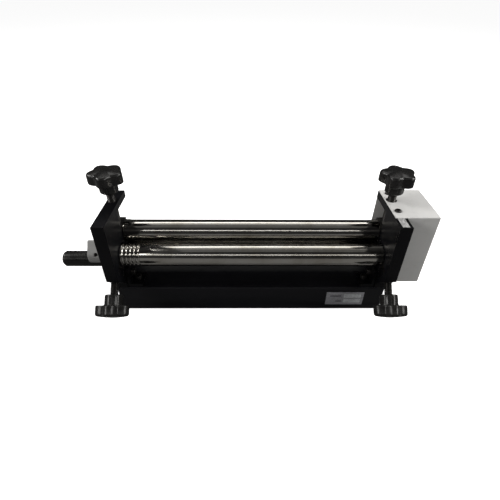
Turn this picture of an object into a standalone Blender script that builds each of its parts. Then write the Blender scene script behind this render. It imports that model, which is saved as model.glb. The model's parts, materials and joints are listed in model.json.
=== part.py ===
"""Bench-top three-roll machine, hand cranked: two geared pinch rollers and one adjustable bending roller.

Units are metres, +Z is up, X runs along the rollers, +Y is the outfeed side. The origin is the centre of the
underside of the base tube. Running and assembly gaps are GAP wide, so no two solids touch.
"""

import math

import bmesh
import bpy
from mathutils import Matrix, Vector

MM = 0.001

# Driving dimensions
GAP = 0.3 * MM
HALF_WIDTH = 175 * MM
FRAME_THICKNESS = 14.4 * MM
FRAME_FRONT = -61.3 * MM
FRAME_REAR = 24.5 * MM
FRAME_TOP = 147 * MM
TUBE_DEPTH = 80 * MM
TUBE_HEIGHT = 40 * MM
TUBE_WALL = 3 * MM
TUBE_HALF_LENGTH = 172.3 * MM
TUBE_ROUNDING = 2.5 * MM
ROLLER_RADIUS = 14 * MM
ROLLER_HALF_LENGTH = 160 * MM
JOURNAL_RADIUS = 6 * MM
UPPER_AXIS = (-1.8 * MM, 103.8 * MM)
LOWER_AXIS = (1.2 * MM, 75.1 * MM)
BENDING_AXIS = (-31.0 * MM, 87.4 * MM)
SCREW_RADIUS = 5 * MM
NECK_RADIUS = 3.4 * MM
PIN_RADIUS = 1.0 * MM
BUSH_RADIUS = 8 * MM
BOLT_RADIUS = 2.5 * MM
SMALL_SCREW_RADIUS = 1.7 * MM
KNOB_RADIUS = 20.8 * MM
KNOB_LOBES = 5
KNOB_HUB = 13.2 * MM
KNOB_HEAD = 14.8 * MM
KNOB_HUB_RADIUS = 11 * MM
TOP_SCREW_X = 168.8 * MM
TOP_KNOB_START = 159 * MM
LEFT_TOP_LOBE = math.radians(273)
RIGHT_TOP_LOBE = math.radians(20)
GEAR_TEETH = 18
GEAR_MODULE = 1.6 * MM
GEAR_PRESSURE_ANGLE = math.radians(25)
GEAR_BACKLASH = 0.85 * MM
CRANK_RADIUS = 62 * MM
CRANK_ANGLE = math.radians(-52.7)

# Derived places
FRAME_INNER = HALF_WIDTH - FRAME_THICKNESS
FRAME_MIDDLE = HALF_WIDTH - FRAME_THICKNESS / 2
FRAME_BOTTOM = TUBE_HEIGHT + GAP
BORE_RADIUS = JOURNAL_RADIUS + 0.35 * MM
BOLT_HOLE_RADIUS = BOLT_RADIUS + GAP
SCREW_HOLE_RADIUS = SCREW_RADIUS + GAP
SIDES = (("left", -1), ("right", 1))

# The upper blocks ride in an upright window that is open to the rear
WINDOW_FRONT = -13.7 * MM
WINDOW_REAR = 9.9 * MM
WINDOW_BOTTOM = 91 * MM
WINDOW_TOP = 138.5 * MM
REAR_POST_TOP = 104.5 * MM

# The bending blocks ride in a window sloped at 45 degrees; distances run along the slope from the
# roller's axis
SLOPE = Vector((0, 1, 1)).normalized()
SLOPE_WIDTH = 18.4 * MM
SLOPE_END = 15.3 * MM
SLOPE_START = -26 * MM
BENDING_KNOB_START = 49.2 * MM

# Gear cover
COVER_END = 213.2 * MM
COVER_FRONT = -41.8 * MM
COVER_BOTTOM = 51.6 * MM
COVER_WALL = 1.2 * MM
COVER_TOP = FRAME_TOP + GAP + COVER_WALL
COVER_REAR = FRAME_REAR + GAP + COVER_WALL
COVER_LIP = FRAME_INNER + 0.6 * MM
COVER_SCREWS = ((168.1 * MM, -28.1 * MM), (169.6 * MM, 14.1 * MM))

# Gears and crank, along X
GEAR_START = 180 * MM
GEAR_WIDTH = 12 * MM
SHAFT_RIGHT_END = 193 * MM
KEY_WIDTH = 3 * MM
KEY_DEPTH = 1.8 * MM
KEY_HEIGHT = 3.2 * MM

# The crank: an arm beside the frame, a thick hub block outside it, and a grip along the arm's outer side.
# The block leans back, and the shaft goes through its upper half.
ARM_INNER = 180 * MM
ARM_OUTER = 189.2 * MM
ARM_HALF_WIDTH = 10 * MM
CRANK_OUTER = 212.3 * MM
HUB_HALF_SIZE = 14.8 * MM
HUB_OFFSET = 5.9 * MM
HUB_LEAN = 53.1
HUB_FRONT_ROUNDING = 13 * MM
HUB_ROUNDING = 2.5 * MM
GRUB_X = 201 * MM
GRUB_RADIUS = 2.3 * MM
GRUB_LENGTH = 11 * MM
GRIP_RADIUS = 11.6 * MM
GRIP_LENGTH = 87 * MM
SPINDLE_RADIUS = 4 * MM
SPINDLE_HEAD_RADIUS = 6.4 * MM

# Angle brackets that join the frames to the base.
BRACKET_Y = (-38 * MM, -14.5 * MM)
BRACKET_HEIGHT = 27 * MM
BRACKET_LEG = 19 * MM
BRACKET_WALL = 4 * MM
BRACKET_BOLT_Y = -26 * MM
BRACKET_BOLT_HEIGHT = 56 * MM

AXIS_X = Vector((1, 0, 0))
AXIS_Y = Vector((0, 1, 0))
AXIS_Z = Vector((0, 0, 1))

for old in list(bpy.data.objects):
    bpy.data.objects.remove(old, do_unlink=True)

machine = bpy.data.collections.new("three_roll_machine")
cutters = bpy.data.collections.new("cutters")
bpy.context.scene.collection.children.link(machine)
bpy.context.scene.collection.children.link(cutters)
cutters.hide_render = True


def make_material(name, colour, roughness, metallic=0.0):
    """A Principled material of one colour."""
    material = bpy.data.materials.new(name)
    material.use_nodes = True
    shader = material.node_tree.nodes["Principled BSDF"]
    shader.inputs["Base Color"].default_value = (*colour, 1)
    shader.inputs["Roughness"].default_value = roughness
    shader.inputs["Metallic"].default_value = metallic
    return material


BLACK_PAINT = make_material("black_paint", (0.012, 0.012, 0.016), 0.3)
GREY_PAINT = make_material("grey_paint", (0.55, 0.55, 0.56), 0.45)
POLISHED_STEEL = make_material("polished_steel", (0.62, 0.61, 0.58), 0.18, 1.0)
ZINC_STEEL = make_material("zinc_steel", (0.6, 0.6, 0.58), 0.35, 1.0)
DARK_STEEL = make_material("dark_steel", (0.08, 0.08, 0.085), 0.4, 0.9)
BRONZE = make_material("bronze", (0.5, 0.33, 0.16), 0.35, 1.0)
BLACK_PLASTIC = make_material("black_plastic", (0.01, 0.01, 0.01), 0.22)
LABEL_FILM = make_material("label_film", (0.28, 0.29, 0.32), 0.4)


def add_object(name, mesh, material, collection=machine):
    """A mesh becomes a named, shaded object in its collection."""
    thing = bpy.data.objects.new(name, mesh)
    collection.objects.link(thing)
    if collection is cutters:
        thing.hide_render = True
        thing.display_type = "WIRE"
        return thing
    mesh.materials.append(material)
    mesh.shade_smooth()
    mesh.set_sharp_from_angle(angle=math.radians(35))
    return thing


def mesh_from(builder, name):
    """Run a bmesh builder and keep the result as a mesh."""
    bm = bmesh.new()
    builder(bm)
    bmesh.ops.recalc_face_normals(bm, faces=bm.faces)
    mesh = bpy.data.meshes.new(name)
    bm.to_mesh(mesh)
    bm.free()
    return mesh


def add_box(name, low, high, material=None, collection=machine):
    """An axis-aligned box between two corners."""
    low, high = Vector(low), Vector(high)
    size = Matrix.Diagonal((*(high - low), 1))
    place = Matrix.Translation((low + high) / 2) @ size
    mesh = mesh_from(lambda bm: bmesh.ops.create_cube(bm, size=1, matrix=place), name)
    return add_object(name, mesh, material, collection)


def axis_frame(start, direction):
    """A matrix that puts the origin at start and turns +Z to the direction."""
    return Matrix.Translation(start) @ Vector(direction).to_track_quat("Z", "Y").to_matrix().to_4x4()


def add_cylinder(name, start, direction, length, radius, material=None, collection=machine, sides=24):
    """A round bar from start along the direction."""
    place = axis_frame(start, direction) @ Matrix.Translation((0, 0, length / 2))

    def builder(bm):
        bmesh.ops.create_cone(
            bm, cap_ends=True, segments=sides, radius1=radius, radius2=radius, depth=length, matrix=place
        )

    return add_object(name, mesh_from(builder, name), material, collection)


def add_turned(name, profile, origin, direction, material, steps=24):
    """A turned piece: (distance, radius) pairs along the direction, spun about it."""
    mesh = bpy.data.meshes.new(name)
    points = [(radius, 0, distance) for distance, radius in reversed(profile)]
    closed_ring = all(radius > 0 for _, radius in profile)
    edges = [(i, i + 1) for i in range(len(points) - 1)]
    if closed_ring:
        edges.append((len(points) - 1, 0))
    mesh.from_pydata(points, edges, [])
    thing = add_object(name, mesh, material)
    thing.matrix_world = axis_frame(origin, direction)
    screw = thing.modifiers.new("turn", "SCREW")
    screw.steps = screw.render_steps = steps
    screw.use_merge_vertices = True
    screw.merge_threshold = 0.00001
    return thing


def add_plate(name, outline, start_x, thickness, material=None, collection=machine):
    """A flat plate: an outline of (Y, Z) points, extruded along X from start_x."""

    def builder(bm):
        face = bm.faces.new([bm.verts.new((start_x, y, z)) for y, z in outline])
        made = bmesh.ops.extrude_face_region(bm, geom=[face])
        moved = [item for item in made["geom"] if isinstance(item, bmesh.types.BMVert)]
        bmesh.ops.translate(bm, vec=(thickness, 0, 0), verts=moved)

    return add_object(name, mesh_from(builder, name), material, collection)


def boolean(thing, cutter, operation="DIFFERENCE"):
    """Cut the cutter from the object, or join it."""
    modifier = thing.modifiers.new(operation.lower(), "BOOLEAN")
    modifier.operation = operation
    modifier.solver = "EXACT"
    modifier.object = cutter


def drill(thing, start, direction, length, radius, sides=24):
    """Cut a round hole."""
    name = f"{thing.name}_hole_{len(thing.modifiers)}"
    boolean(thing, add_cylinder(name, start, direction, length, radius, collection=cutters, sides=sides))


def bevel(thing, width, segments=1, angle=40):
    """Round the object's sharp edges."""
    modifier = thing.modifiers.new("bevel", "BEVEL")
    modifier.width = width
    modifier.segments = segments
    modifier.limit_method = "ANGLE"
    modifier.angle_limit = math.radians(angle)


def arc(centre, radius, start, end, steps):
    """Points of an arc in the Y-Z plane, angles in degrees from +Y towards +Z."""
    angles = [math.radians(start + (end - start) * i / steps) for i in range(steps + 1)]
    return [(centre[0] + radius * math.cos(a), centre[1] + radius * math.sin(a)) for a in angles]


def on_slope(distance, side=0.0, x=0.0):
    """The point at a distance along the bending slope, and to its rear side."""
    point = Vector((x, *BENDING_AXIS)) + SLOPE * distance
    return point + Vector((0, 1, -1)).normalized() * side


def slope_slot(half_width, start, end, steps=10):
    """A slot outline along the slope: square at its lower end, round at its upper end."""
    centre = on_slope(end - half_width)
    round_end = arc(centre.yz, half_width, -45, 135, steps)
    corners = [on_slope(start, -half_width).yz, on_slope(start, half_width).yz]
    return [tuple(corner) for corner in corners] + round_end


def make_base():
    """The base is a rectangular tube with a plug in each end."""
    half_depth = TUBE_DEPTH / 2
    low = (-TUBE_HALF_LENGTH, -half_depth, 0)
    high = (TUBE_HALF_LENGTH, half_depth, TUBE_HEIGHT)
    tube = add_box("base_tube", low, high, BLACK_PAINT)
    edges = tube.modifiers.new("rounded_edges", "BEVEL")
    edges.width = TUBE_ROUNDING
    edges.segments = 4
    edges.limit_method = "WEIGHT"
    weights = tube.data.attributes.new("bevel_weight_edge", "FLOAT", "EDGE")
    for edge, weight in zip(tube.data.edges, weights.data):
        first, second = (tube.data.vertices[i].co for i in edge.vertices)
        weight.value = 1.0 if abs(first.x - second.x) > HALF_WIDTH else 0.0
    inner_low = (-HALF_WIDTH, -half_depth + TUBE_WALL, TUBE_WALL)
    inner_high = (HALF_WIDTH, half_depth - TUBE_WALL, TUBE_HEIGHT - TUBE_WALL)
    boolean(tube, add_box("tube_hollow", inner_low, inner_high, collection=cutters))

    plug_depth = 12 * MM
    flange = 1.4 * MM
    for side, sign in SIDES:
        face = sign * (TUBE_HALF_LENGTH + GAP)
        outer_low = (face, -half_depth, 0.4 * MM)
        outer_high = (face + sign * flange, half_depth, TUBE_HEIGHT)
        plug = add_box(f"{side}_base_plug", *ordered(outer_low, outer_high), BLACK_PLASTIC)
        inset = TUBE_WALL + 2 * GAP
        stub_low = (face + sign * flange / 2, -half_depth + inset, inset)
        stub_high = (face - sign * plug_depth, half_depth - inset, TUBE_HEIGHT - inset)
        stub = add_box(f"{side}_plug_stub", *ordered(stub_low, stub_high), collection=cutters)
        boolean(plug, stub, "UNION")


def ordered(first, second):
    """Two corners as the low one and the high one."""
    low = tuple(min(pair) for pair in zip(first, second))
    high = tuple(max(pair) for pair in zip(first, second))
    return low, high


def make_frames():
    """Each side frame is one thick plate: a nose at the front and an arm over the open window."""
    outline = [
        (FRAME_FRONT, FRAME_TOP),
        (FRAME_FRONT, FRAME_TOP - 78.2 * MM),
        (-40 * MM, 47.5 * MM),
        (-40 * MM, FRAME_BOTTOM),
        (FRAME_REAR, FRAME_BOTTOM),
        (FRAME_REAR, REAR_POST_TOP),
        (WINDOW_REAR, REAR_POST_TOP),
        (WINDOW_REAR, WINDOW_BOTTOM),
        (WINDOW_FRONT, WINDOW_BOTTOM),
        (WINDOW_FRONT, WINDOW_TOP),
        (FRAME_REAR, WINDOW_TOP),
        (FRAME_REAR, FRAME_TOP),
    ]
    reach = 2 * MM
    for side, sign in SIDES:
        start = FRAME_INNER if sign > 0 else -HALF_WIDTH
        frame = add_plate(f"{side}_frame", outline, start, FRAME_THICKNESS, BLACK_PAINT)
        through = start - reach
        slot = slope_slot(SLOPE_WIDTH / 2, SLOPE_START, SLOPE_END)
        span = FRAME_THICKNESS + 2 * reach
        boolean(frame, add_plate(f"{side}_sloped_window", slot, through, span, collection=cutters))
        drill(frame, (through, *LOWER_AXIS), AXIS_X, span, BUSH_RADIUS + GAP, 24)
        top_hole = (sign * TOP_SCREW_X, UPPER_AXIS[0], WINDOW_TOP - reach)
        drill(frame, top_hole, AXIS_Z, FRAME_TOP - WINDOW_TOP + 2 * reach, SCREW_HOLE_RADIUS)
        low_hole = on_slope(SLOPE_START + reach, 0, sign * FRAME_MIDDLE)
        drill(frame, low_hole, -SLOPE, 16 * MM, SCREW_HOLE_RADIUS)
        hole = (sign * (FRAME_INNER - reach), BRACKET_BOLT_Y, BRACKET_BOLT_HEIGHT)
        drill(frame, hole, AXIS_X * sign, 12 * MM, BOLT_HOLE_RADIUS, 12)
        if sign > 0:
            for x, y in COVER_SCREWS:
                drill(frame, (x, y, FRAME_TOP + reach), -AXIS_Z, 9 * MM + reach, SMALL_SCREW_RADIUS + GAP, 12)


def make_foot_brackets():
    """An angle inside each frame joins it to the base; one bolt goes into the frame and one into the base."""
    for side, sign in SIDES:
        face = sign * (FRAME_INNER - GAP)
        foot = FRAME_BOTTOM
        upright_end = (face - sign * BRACKET_WALL, BRACKET_Y[1], foot + BRACKET_HEIGHT)
        upright = (face, BRACKET_Y[0], foot), upright_end
        flat = (face, BRACKET_Y[0], foot), (face - sign * BRACKET_LEG, BRACKET_Y[1], foot + BRACKET_WALL)
        bracket = add_box(f"{side}_foot_bracket", *ordered(*upright), BLACK_PAINT)
        boolean(bracket, add_box(f"{side}_bracket_foot", *ordered(*flat), collection=cutters), "UNION")
        start = (sign * (FRAME_INNER + 2 * MM), BRACKET_BOLT_Y, BRACKET_BOLT_HEIGHT)
        drill(bracket, start, -AXIS_X * sign, 12 * MM, BOLT_HOLE_RADIUS, 12)
        head = (sign * (FRAME_INNER - 2 * GAP - BRACKET_WALL), BRACKET_BOLT_Y, BRACKET_BOLT_HEIGHT)
        add_bolt(f"{side}_frame_bolt", head, AXIS_X * sign, BOLT_RADIUS, 13 * MM)
        base_x = sign * (FRAME_INNER - BRACKET_LEG + 7 * MM)
        top = FRAME_BOTTOM + BRACKET_WALL
        drill(bracket, (base_x, BRACKET_BOLT_Y, top + 2 * MM), -AXIS_Z, 10 * MM, BOLT_HOLE_RADIUS, 12)
        tube = bpy.data.objects["base_tube"]
        drill(tube, (base_x, BRACKET_BOLT_Y, TUBE_HEIGHT + MM), -AXIS_Z, 8 * MM, BOLT_HOLE_RADIUS, 12)
        add_bolt(f"{side}_base_bolt", (base_x, BRACKET_BOLT_Y, top + GAP), -AXIS_Z, BOLT_RADIUS, 11 * MM)


def add_bolt(name, seat, direction, radius, length, material=DARK_STEEL, sides=12):
    """A cap screw with a hex socket, its head's seat at the given point and its shank along the direction."""
    head_height = 2 * radius
    head_radius = 1.7 * radius
    profile = [
        (-head_height, 0),
        (-head_height, head_radius - 0.4 * MM),
        (-head_height + 0.4 * MM, head_radius),
        (0, head_radius),
        (0, radius),
        (length - 0.5 * MM, radius),
        (length, radius - 0.5 * MM),
        (length, 0),
    ]
    bolt = add_turned(name, profile, seat, direction, material, sides)
    socket_start = Vector(seat) - Vector(direction) * (head_height + MM)
    drill(bolt, socket_start, direction, MM + head_height * 0.55, radius * 0.95, 6)
    return bolt


def roller_profile(left_journal, right_journal, grooves=()):
    """A roller with chamfered ends and a journal of a given length at each end."""
    chamfer = MM
    half = ROLLER_HALF_LENGTH
    tip = 0.8 * MM
    profile = [
        (-half - left_journal, 0),
        (-half - left_journal, JOURNAL_RADIUS - tip),
        (-half - left_journal + tip, JOURNAL_RADIUS),
        (-half, JOURNAL_RADIUS),
        (-half, ROLLER_RADIUS - chamfer),
        (-half + chamfer, ROLLER_RADIUS),
    ]
    for centre, width in grooves:
        steps = 2
        for i in range(steps + 1):
            turn = math.pi * i / steps
            distance = centre - width / 2 * math.cos(turn)
            profile.append((distance, ROLLER_RADIUS - width / 2 * math.sin(turn)))
    profile += [
        (half - chamfer, ROLLER_RADIUS),
        (half, ROLLER_RADIUS - chamfer),
        (half, JOURNAL_RADIUS),
        (half + right_journal - tip, JOURNAL_RADIUS),
        (half + right_journal, JOURNAL_RADIUS - tip),
        (half + right_journal, 0),
    ]
    return profile


def wire_grooves():
    """Grooves for bending wire, in steps of size, at the left end of the bending roller."""
    count = 5
    widest = 4.2 * MM
    narrowest = 2.2 * MM
    first = -ROLLER_HALF_LENGTH + 4.5 * MM
    pitch = 4.7 * MM
    step = (widest - narrowest) / (count - 1)
    return [(first + pitch * i, widest - step * i) for i in range(count)]


def make_rollers():
    """Three solid steel rollers; the upper and lower ones are keyed to gears at the right."""
    short = HALF_WIDTH + 3.5 * MM - ROLLER_HALF_LENGTH
    geared = SHAFT_RIGHT_END - ROLLER_HALF_LENGTH
    cranked = CRANK_OUTER - MM - ROLLER_HALF_LENGTH
    flush = HALF_WIDTH - 0.5 * MM - ROLLER_HALF_LENGTH
    rollers = (
        ("upper_roller", UPPER_AXIS, roller_profile(short, geared)),
        ("lower_roller", LOWER_AXIS, roller_profile(cranked, geared)),
        ("bending_roller", BENDING_AXIS, roller_profile(short, flush, wire_grooves())),
    )
    upper, lower, _ = (
        add_turned(name, profile, (0, *axis), AXIS_X, POLISHED_STEEL, 24) for name, axis, profile in rollers
    )
    for roller, axis in ((upper, UPPER_AXIS), (lower, LOWER_AXIS)):
        start = (GEAR_START - GAP, axis[0] - KEY_WIDTH / 2 - GAP, axis[1] + JOURNAL_RADIUS - KEY_DEPTH)
        end = (SHAFT_RIGHT_END + MM, axis[0] + KEY_WIDTH / 2 + GAP, axis[1] + JOURNAL_RADIUS + MM)
        boolean(roller, add_box(f"{roller.name}_keyway", start, end, collection=cutters))
        drill(roller, (SHAFT_RIGHT_END + MM, *axis), -AXIS_X, 11 * MM, BOLT_HOLE_RADIUS, 12)
    flat_start = (-CRANK_OUTER, LOWER_AXIS[0] - JOURNAL_RADIUS - MM, LOWER_AXIS[1] - JOURNAL_RADIUS)
    flat_end = (-ARM_OUTER, LOWER_AXIS[0] - JOURNAL_RADIUS + MM, LOWER_AXIS[1] + JOURNAL_RADIUS)
    boolean(lower, add_box("crank_flat", flat_start, flat_end, collection=cutters))


def make_upper_carriage():
    """A bushed block at each end carries the upper roller; the screw is held in the block by a cross pin."""
    block_low = UPPER_AXIS[1] - 10.5 * MM
    block_top = UPPER_AXIS[1] + 13 * MM
    neck_height = block_top - 2 * MM
    tip_height = block_top - 3.8 * MM
    pin_offset = NECK_RADIUS + PIN_RADIUS + GAP
    for side, sign in SIDES:
        inner, outer = sign * (FRAME_INNER + GAP), sign * (HALF_WIDTH - GAP)
        corners = (inner, WINDOW_FRONT + GAP, block_low), (outer, WINDOW_REAR - GAP, block_top)
        block = add_box(f"{side}_upper_block", *ordered(*corners), DARK_STEEL)
        through = (sign * (FRAME_INNER - MM), *UPPER_AXIS)
        drill(block, through, AXIS_X * sign, FRAME_THICKNESS + 2 * MM, BUSH_RADIUS + GAP, 24)
        screw_hole = (sign * TOP_SCREW_X, UPPER_AXIS[0], block_top + MM)
        drill(block, screw_hole, -AXIS_Z, block_top + MM + GAP - tip_height, SCREW_HOLE_RADIUS)
        pin_start = sign * (HALF_WIDTH + MM), UPPER_AXIS[0] + pin_offset, neck_height
        drill(block, pin_start, -AXIS_X * sign, FRAME_THICKNESS, PIN_RADIUS + GAP, 12)
        add_bush(f"{side}_upper_bush", sign, UPPER_AXIS)
        add_pin(f"{side}_upper_pin", (sign * (HALF_WIDTH - 2 * GAP), *pin_start[1:]), -AXIS_X * sign)
        screw_foot = Vector((sign * TOP_SCREW_X, UPPER_AXIS[0], 0))
        lobe = RIGHT_TOP_LOBE if sign > 0 else LEFT_TOP_LOBE
        add_screw_and_knob(f"{side}_top", screw_foot, AXIS_Z, tip_height, neck_height, TOP_KNOB_START, lobe)


def add_bush(name, sign, axis):
    """A plain bush through the thickness of the block or frame that holds it."""
    outer, inner = BUSH_RADIUS, BORE_RADIUS
    start, end = FRAME_INNER + GAP, HALF_WIDTH - GAP
    chamfer = 0.5 * MM
    profile = [
        (start, inner),
        (start, outer - chamfer),
        (start + chamfer, outer),
        (end - chamfer, outer),
        (end, outer - chamfer),
        (end, inner),
    ]
    add_turned(name, profile, (0, *axis), AXIS_X * sign, BRONZE, 24)


def add_pin(name, start, direction):
    """A cross pin that sits in a screw's neck."""
    add_cylinder(name, start, direction, FRAME_THICKNESS - 2.2 * MM, PIN_RADIUS, ZINC_STEEL, sides=12)


def add_screw_and_knob(name, origin, direction, tip, neck, knob, lobe):
    """An adjusting screw with a necked tip and a star knob; tip, neck and knob are distances along it."""
    groove = PIN_RADIUS + GAP + 0.1 * MM
    end = knob + KNOB_HUB + KNOB_HEAD / 2
    insert = end - GAP
    profile = [
        (tip, 0),
        (tip, SCREW_RADIUS - 0.3 * MM),
        (tip + 0.3 * MM, SCREW_RADIUS),
        (neck - groove, SCREW_RADIUS),
        (neck - groove, NECK_RADIUS),
        (neck + groove, NECK_RADIUS),
        (neck + groove, SCREW_RADIUS),
        (insert - 0.6 * MM, SCREW_RADIUS),
        (insert, SCREW_RADIUS - 0.6 * MM),
        (insert, 0),
    ]
    add_turned(f"{name}_screw", profile, origin, direction, DARK_STEEL, 16)
    head = add_star(f"{name}_knob", origin + direction * (knob + KNOB_HUB), direction, lobe)
    hub_start = origin + direction * knob
    cone = axis_frame(hub_start, direction) @ Matrix.Translation((0, 0, KNOB_HUB / 2 + MM))

    def builder(bm):
        bmesh.ops.create_cone(
            bm,
            cap_ends=True,
            segments=24,
            radius1=KNOB_HUB_RADIUS - 1.2 * MM,
            radius2=KNOB_HUB_RADIUS,
            depth=KNOB_HUB + 2 * MM,
            matrix=cone,
        )

    hub = add_object(f"{name}_hub", mesh_from(builder, f"{name}_hub"), None, cutters)
    boolean(head, hub, "UNION")
    bore = hub_start - direction * MM
    drill(head, bore, direction, KNOB_HUB + KNOB_HEAD / 2 + MM, SCREW_HOLE_RADIUS)


def star_radius(angle):
    """The knob's outline: round lobes with hollows between them."""
    wave = (1 + math.cos(KNOB_LOBES * angle)) / 2
    return KNOB_RADIUS * (0.79 + 0.21 * wave**0.8)


def add_star(name, origin, direction, lobe_start):
    """A star-shaped knob head with its flat underside at the origin and a lobe at the given angle."""
    count = KNOB_LOBES * 8
    place = Matrix.Translation(origin) @ knob_rotation(direction)

    def builder(bm):
        ring = []
        for i in range(count):
            angle = 2 * math.pi * i / count
            radius = star_radius(angle)
            turned = angle + lobe_start
            ring.append(bm.verts.new((radius * math.cos(turned), radius * math.sin(turned), 0)))
        face = bm.faces.new(ring)
        made = bmesh.ops.extrude_face_region(bm, geom=[face])
        top = [item for item in made["geom"] if isinstance(item, bmesh.types.BMVert)]
        bmesh.ops.translate(bm, vec=(0, 0, KNOB_HEAD), verts=top)

    mesh = mesh_from(builder, name)
    mesh.transform(place)
    star = add_object(name, mesh, BLACK_PLASTIC)
    bevel(star, 1.8 * MM, 1, 50)
    return star


def knob_rotation(direction):
    """Turn +Z to the direction and keep +X along the rollers."""
    side = AXIS_X
    across = direction.cross(side)
    return Matrix((side, across, direction)).transposed().to_4x4()


def make_bending_carriage():
    """A block at each end carries the bending roller along the sloped window."""
    half_width = SLOPE_WIDTH / 2 - GAP
    bottom = -17 * MM
    neck = bottom + 3 * MM
    pin_offset = NECK_RADIUS + PIN_RADIUS + GAP
    for side, sign in SIDES:
        start = FRAME_INNER + GAP if sign > 0 else -HALF_WIDTH + GAP
        outline = slope_slot(half_width, bottom, 9 * MM)
        thickness = FRAME_THICKNESS - 2 * GAP
        block = add_plate(f"{side}_bending_block", outline, start, thickness, DARK_STEEL)
        through = (sign * (FRAME_INNER - MM), *BENDING_AXIS)
        drill(block, through, AXIS_X * sign, FRAME_THICKNESS + 2 * MM, BORE_RADIUS, 24)
        hole = on_slope(bottom - MM, 0, sign * FRAME_MIDDLE)
        drill(block, hole, SLOPE, 7 * MM, SCREW_HOLE_RADIUS)
        pin_start = on_slope(neck, pin_offset, sign * (HALF_WIDTH + MM))
        drill(block, pin_start, -AXIS_X * sign, FRAME_THICKNESS, PIN_RADIUS + GAP, 12)
        pin_place = on_slope(neck, pin_offset, sign * (HALF_WIDTH - 2 * GAP))
        add_pin(f"{side}_bending_pin", pin_place, -AXIS_X * sign)
        tip = -bottom - 5.4 * MM
        origin = on_slope(0, 0, sign * FRAME_MIDDLE)
        add_screw_and_knob(f"{side}_lower", origin, -SLOPE, tip, -neck, BENDING_KNOB_START, math.pi / 2)


def add_ring(name, sign, axis):
    """A retaining collar on a journal, just outside the frame."""
    start = HALF_WIDTH + GAP
    end = start + 1.6 * MM
    inner = JOURNAL_RADIUS + GAP
    profile = [(start, inner), (start, 9 * MM), (end, 9 * MM), (end, inner)]
    add_turned(name, profile, (0, *axis), AXIS_X * sign, DARK_STEEL, 20)


def make_rings():
    """A collar on each left journal keeps the upper and bending rollers from sliding right."""
    add_ring("left_upper_collar", -1, UPPER_AXIS)
    add_ring("left_bending_collar", -1, BENDING_AXIS)


def involute(base_radius, radius):
    """The involute's polar angle at a radius."""
    roll = math.sqrt((radius / base_radius) ** 2 - 1)
    return roll - math.atan(roll)


def gear_outline(phase):
    """Outline points (Y, Z) of a spur gear about the origin, with one tooth centred at the phase angle."""
    pitch_radius = GEAR_MODULE * GEAR_TEETH / 2
    base_radius = pitch_radius * math.cos(GEAR_PRESSURE_ANGLE)
    outer_radius = pitch_radius + 0.9 * GEAR_MODULE
    root_radius = pitch_radius - 1.27 * GEAR_MODULE
    flank_start = max(base_radius, root_radius)
    tooth = math.pi * GEAR_MODULE / 2 - GEAR_BACKLASH / 2
    half_at_pitch = tooth / 2 / pitch_radius + involute(base_radius, pitch_radius)
    flank_steps = 3
    points = []
    for index in range(GEAR_TEETH):
        centre = phase + 2 * math.pi * index / GEAR_TEETH
        flank = []
        for step in range(flank_steps + 1):
            radius = flank_start + (outer_radius - flank_start) * step / flank_steps
            flank.append((radius, half_at_pitch - involute(base_radius, radius)))
        flank.insert(0, (root_radius, flank[0][1] + 0.01))
        polar = [(radius, centre - half) for radius, half in flank]
        polar += [(radius, centre + half) for radius, half in reversed(flank)]
        points += [(radius * math.cos(angle), radius * math.sin(angle)) for radius, angle in polar]
    return points


def make_gears():
    """Two equal spur gears turn the pinch rollers together; each has a key, a washer and an end screw."""
    line = math.atan2(UPPER_AXIS[1] - LOWER_AXIS[1], UPPER_AXIS[0] - LOWER_AXIS[0])
    half_pitch = math.pi / GEAR_TEETH
    gears = (("upper", UPPER_AXIS, line + math.pi + half_pitch), ("lower", LOWER_AXIS, line))
    for name, axis, phase in gears:
        outline = [(y + axis[0], z + axis[1]) for y, z in gear_outline(phase)]
        gear = add_plate(f"{name}_gear", outline, GEAR_START, GEAR_WIDTH, ZINC_STEEL)
        bore_start = (GEAR_START - MM, *axis)
        drill(gear, bore_start, AXIS_X, GEAR_WIDTH + 2 * MM, JOURNAL_RADIUS + GAP, 24)
        key_foot = axis[1] + JOURNAL_RADIUS - KEY_DEPTH + GAP
        key_low = (GEAR_START + GAP, axis[0] - KEY_WIDTH / 2, key_foot)
        key_high = (GEAR_START + GEAR_WIDTH - GAP, axis[0] + KEY_WIDTH / 2, key_foot + KEY_HEIGHT)
        add_box(f"{name}_gear_key", key_low, key_high, ZINC_STEEL)
        slot_low = (GEAR_START - MM, key_low[1] - GAP, axis[1])
        slot_high = (GEAR_START + GEAR_WIDTH + MM, key_high[1] + GAP, key_high[2] + GAP)
        boolean(gear, add_box(f"{name}_gear_keyway", slot_low, slot_high, collection=cutters))
        seat = SHAFT_RIGHT_END + GAP
        inner, outer, thickness = BOLT_HOLE_RADIUS + 0.1 * MM, 8.5 * MM, 1.5 * MM
        washer = [(seat, inner), (seat, outer), (seat + thickness, outer), (seat + thickness, inner)]
        add_turned(f"{name}_gear_washer", washer, (0, *axis), AXIS_X, ZINC_STEEL, 16)
        add_bolt(f"{name}_gear_screw", (seat + thickness + GAP, *axis), -AXIS_X, BOLT_RADIUS, 10 * MM)


def make_lower_bushes():
    """The lower roller turns in a bush in each frame."""
    for side, sign in SIDES:
        add_bush(f"{side}_lower_bush", sign, LOWER_AXIS)


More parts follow.
